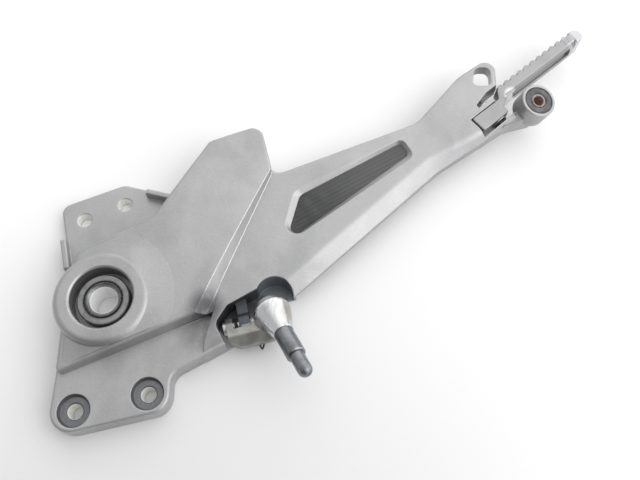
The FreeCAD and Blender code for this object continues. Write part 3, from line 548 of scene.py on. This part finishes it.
def finish_piece(piece, body, slot):
    piece.data.materials.clear()
    piece.data.materials.append(LOOKS[slot])
    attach(piece, body)


def spring_leg():
    """Hooked end of the return spring's wire, in front of the fork."""
    path = [from_peg(RIDER_HINGE, RIDER_ANGLE, *p) for p in SPRING_HOOK]
    finish_piece(wire("rider_spring_leg", path, SPRING_WIRE_R), "rider_peg", "spring_steel")


def notch_wall():
    """Low wall and floor that close the notch where the arm's back is raised."""
    loops = []
    for i in range(NOTCH_STEPS + 1):
        a = math.radians(NOTCH_FROM + NOTCH_TURN * i / NOTCH_STEPS)
        loops.append([Vector((*NOTCH, 0)) + Vector((r * math.cos(a), r * math.sin(a), z))
                      for r, z in NOTCH_SECTION])
    finish_piece(swept("notch_wall", loops, NOTCH_SHARP), "hanger", "cast_silver")


def tip_ramp():
    """Soft slope from the pillion peg's bar up to its raised tip."""
    loops = []
    for x, low, high, top in RAMP_SECTIONS:
        loop = []
        for i in range(2 * RAMP_HALF_STEPS + 1):
            t = i / RAMP_HALF_STEPS - 1
            y = (low + high) / 2 + t * (high - low) / 2
            z = RAMP_BASE + (top - RAMP_BASE) * math.sqrt(1 - t ** 6)
            loop.append(from_peg(PILLION_HINGE, PILLION_ANGLE, x, y, z))
        loops.append(loop)
    finish_piece(swept("pillion_tip_ramp", loops, RAMP_SHARP), "pillion_peg", "peg_alloy")


def groove_dirt():
    """Crumbs of dried grease in the pivot's groove."""
    rng = random.Random(7)
    crumbs = bmesh.new()
    for i in range(CRUMB_COUNT):
        angle = math.tau * (i + rng.uniform(-0.35, 0.35)) / CRUMB_COUNT
        r = GROOVE_R + rng.uniform(-CRUMB_SPREAD, CRUMB_SPREAD)
        spot = Vector((r * math.cos(angle), r * math.sin(angle), GROOVE_Z))
        made = bmesh.ops.create_icosphere(crumbs, subdivisions=2, radius=rng.uniform(*CRUMB_R))
        for v in made["verts"]:
            flat = Vector((v.co.x, v.co.y, v.co.z * CRUMB_FLATNESS))
            v.co = flat * (1 + rng.uniform(-0.15, 0.15)) + spot
    finish_piece(add_shell("pivot_groove_dirt", crumbs), "hanger", "grommet_rubber")


def floor():
    """Pale table top, with painted shade that makes it a little greyer towards the viewer's left."""
    top = bmesh.new()
    bmesh.ops.create_grid(top, x_segments=1, y_segments=1, size=TABLE_HALF)
    table = add_shell("table", top)
    table.location.z = TABLE_Z
    look = Shader("table_top", (0.96, 0.96, 0.962), 0.0, 0.7)
    look.tint(look.span(look.noise(5, 2), 0.3, 0.7, 0, 0.3), (0.92, 0.92, 0.925))
    # Painted shade on the table
    look.tint(look.span(look.flat_distance(*TABLE_SHADE), *TABLE_SHADE_FADE), (0.65, 0.645, 0.655))
    # Painted light, a paler patch to the left
    look.tint(look.span(look.flat_distance(*TABLE_LIT_PATCH), *TABLE_LIT_PATCH_FADE, 0, 0.8), (0.97, 0.97, 0.97))
    table.data.materials.append(look.material)


def lamp():
    """Wide soft lamp to the right."""
    data = bpy.data.lights.new("tent_right", "AREA")
    data.shape = "RECTANGLE"
    data.size = LAMP_SIDE
    data.size_y = LAMP_SIDE
    data.energy = LAMP_WATTS
    piece = bpy.data.objects.new("tent_right", data)
    piece.location = LAMP_PLACE
    piece.rotation_euler = (LAMP_AIM - LAMP_PLACE).to_track_quat("-Z", "Y").to_euler()
    scene.collection.objects.link(piece)


def tent():
    """Light tent: bright all round, brightest to the right and darker low on the viewer's side."""
    world = bpy.data.worlds.new("tent")
    world.use_nodes = True
    tree = world.node_tree
    background = tree.nodes["Background"]
    background.inputs["Color"].default_value = (1, 1, 1, 1)
    way = tree.nodes.new("ShaderNodeTexCoord").outputs["Generated"]

    def lobe(direction, low, high, outside, inside):
        dot = tree.nodes.new("ShaderNodeVectorMath")
        dot.operation = "DOT_PRODUCT"
        dot.inputs[1].default_value = Vector(direction).normalized()
        tree.links.new(way, dot.inputs[0])
        ramp = tree.nodes.new("ShaderNodeMapRange")
        ramp.interpolation_type = "SMOOTHSTEP"
        tree.links.new(dot.outputs["Value"], ramp.inputs["Value"])
        for key, number in (("From Min", low), ("From Max", high), ("To Min", outside), ("To Max", inside)):
            ramp.inputs[key].default_value = number
        return ramp.outputs["Result"]

    strength = tree.nodes.new("ShaderNodeMath")
    strength.operation = "MULTIPLY"
    tree.links.new(lobe(*BRIGHT_SIDE), strength.inputs[0])
    tree.links.new(lobe(*DIM_SIDE), strength.inputs[1])
    tree.links.new(strength.outputs[0], background.inputs["Strength"])
    scene.world = world


def camera():
    data = bpy.data.cameras.new("camera")
    data.sensor_width = SENSOR_MM
    data.lens = SENSOR_MM * FOCAL_PX / PICTURE_PX
    data.clip_start = 0.01
    eye = bpy.data.objects.new("camera", data)
    eye.location = CAMERA_PLACE
    eye.rotation_euler = (CAMERA_TILT, 0, 0)
    scene.collection.objects.link(eye)
    scene.camera = eye


dress_cad()
spring_leg()
notch_wall()
tip_ramp()
groove_dirt()
floor()
tent()
lamp()
camera()
scene.view_settings.view_transform = "Standard"
